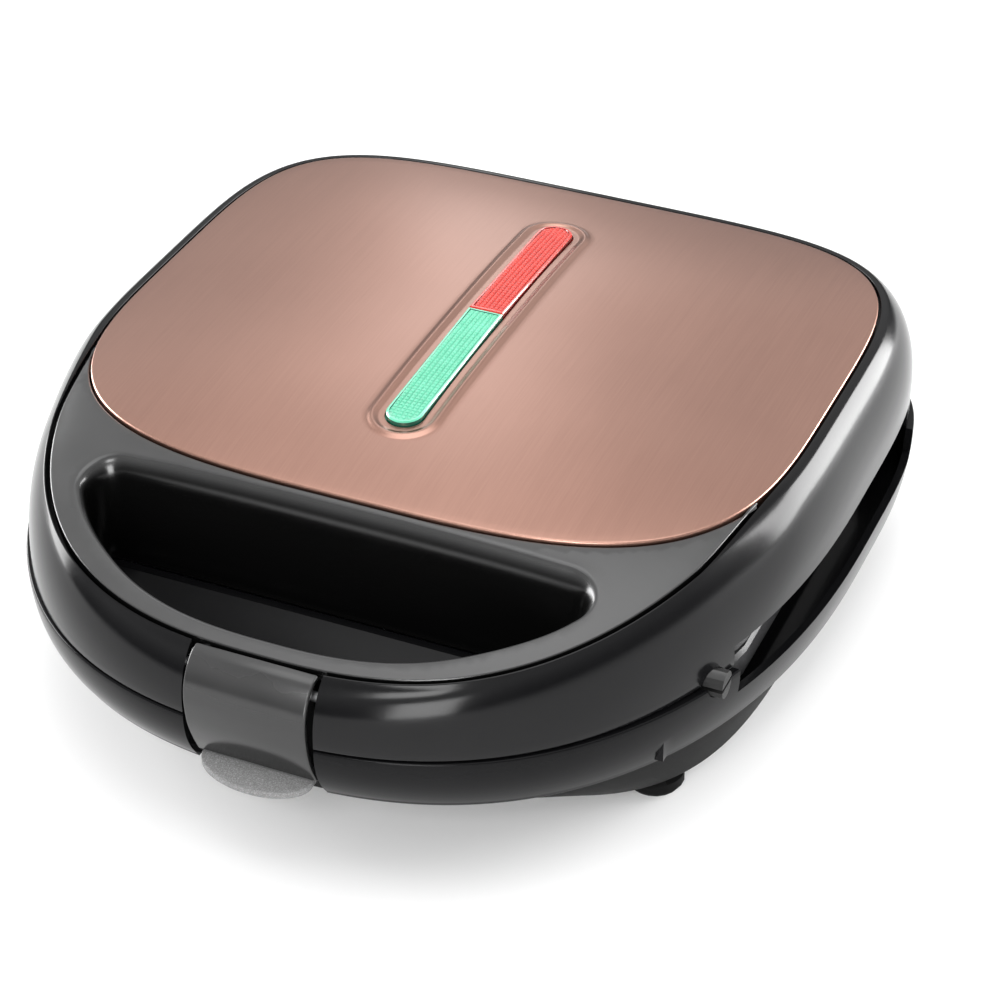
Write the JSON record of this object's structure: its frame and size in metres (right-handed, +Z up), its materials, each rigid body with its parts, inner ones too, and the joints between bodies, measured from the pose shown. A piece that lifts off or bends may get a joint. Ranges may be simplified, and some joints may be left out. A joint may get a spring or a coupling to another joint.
{
  "type": "sandwich and waffle maker",
  "caption": "Closed countertop waffle and sandwich maker with a brushed copper-coloured lid panel, scooped front handle, flap latch, red and green lamp strip and plate release knobs.",
  "frame": {"origin": "on the table, under the middle of the closed object's bounding box", "axes": "+Z up, +Y towards the hinge, -Y towards the handle and latch, +X to the right seen from the handle"},
  "size_m": [0.2542, 0.274, 0.0916],
  "materials": {
    "gloss_black": "glossy moulded plastic",
    "satin_black": "satin moulded plastic",
    "copper": "brushed, copper-coloured coated steel sheet",
    "red_lens": "clear red, glossy",
    "green_lens": "clear green, glossy",
    "lamp_glass": "clear lamp glass",
    "non_stick": "die cast with a dark speckled non-stick coat",
    "bare_metal": "plain steel",
    "bare_aluminium": "pressed sheet",
    "dark_plastic": "fine matte texture",
    "ceramic": "unglazed ceramic",
    "rubber": "matte rubber"
  },
  "bodies": {
    "base": {"base_skin": "gloss_black", "bottom_cover": "dark_plastic", "foot_1": "rubber", "foot_2": "rubber", "foot_3": "rubber", "foot_4": "rubber", "bottom_screw_1": "bare_metal", "bottom_screw_2": "bare_metal", "bottom_screw_3": "bare_metal", "bottom_screw_4": "bare_metal", "cord_gland": "rubber", "hinge_pin_left": "bare_metal", "hinge_pin_right": "bare_metal", "latch_keeper": "bare_metal", "lower_plate": "non_stick", "lower_reflector": "bare_aluminium", "lower_element": "bare_metal", "lower_terminal_block": "ceramic", "lower_thermostat": "bare_metal", "lower_element_stand_left": "bare_metal", "lower_element_stand_right": "bare_metal", "lower_plate_hook_left": "bare_metal", "lower_plate_hook_right": "bare_metal", "lower_screw_1": "bare_metal", "lower_screw_2": "bare_metal", "lower_screw_3": "bare_metal", "lower_screw_4": "bare_metal", "lower_release_spring": "bare_metal"},
    "lid": {"lid_shell": "gloss_black", "handle_deck": "satin_black", "handle_underside": "satin_black", "top_panel": "copper", "lens_red": "red_lens", "lens_green": "green_lens", "lens_carrier": "dark_plastic", "lamp_red": "lamp_glass", "lamp_green": "lamp_glass", "hinge_ear_left": "bare_metal", "hinge_ear_right": "bare_metal", "latch_pin": "bare_metal", "thermal_fuse": "bare_metal", "upper_plate": "non_stick", "upper_reflector": "bare_aluminium", "upper_element": "bare_metal", "upper_terminal_block": "ceramic", "upper_thermostat": "bare_metal", "upper_element_stand_left": "bare_metal", "upper_element_stand_right": "bare_metal", "upper_plate_hook_left": "bare_metal", "upper_plate_hook_right": "bare_metal", "upper_screw_1": "bare_metal", "upper_screw_2": "bare_metal", "upper_screw_3": "bare_metal", "upper_screw_4": "bare_metal", "upper_release_spring": "bare_metal"},
    "latch": {"latch_cover": "satin_black", "latch_body": "dark_plastic", "latch_spring": "bare_metal"},
    "upper_release": {"upper_release_knob": "dark_plastic"},
    "lower_release": {"lower_release_knob": "dark_plastic"}
  },
  "joints": [
    {"name": "lid_hinge", "type": "hinge", "parent": "base", "child": "lid", "pos_m": [0, 0.126, 0.05], "axis": [-1, 0, 0], "range_deg": [0, 105]},
    {"name": "latch_pivot", "type": "hinge", "parent": "lid", "child": "latch", "pos_m": [0, -0.1283, 0.061], "axis": [-1, 0, 0], "range_deg": [0, 50], "stiffness_Nm_per_rad": 0.05, "springref_deg": -20.05},
    {"name": "upper_release", "type": "slide", "parent": "lid", "child": "upper_release", "axis": [-1, 0, 0], "range_m": [0, 0.003], "stiffness_N_per_m": 400, "springref_m": -0.002, "deforming": ["upper_release_spring"]},
    {"name": "lower_release", "type": "slide", "parent": "base", "child": "lower_release", "axis": [-1, 0, 0], "range_m": [0, 0.003], "stiffness_N_per_m": 400, "springref_m": -0.002, "deforming": ["lower_release_spring"]}
  ]
}
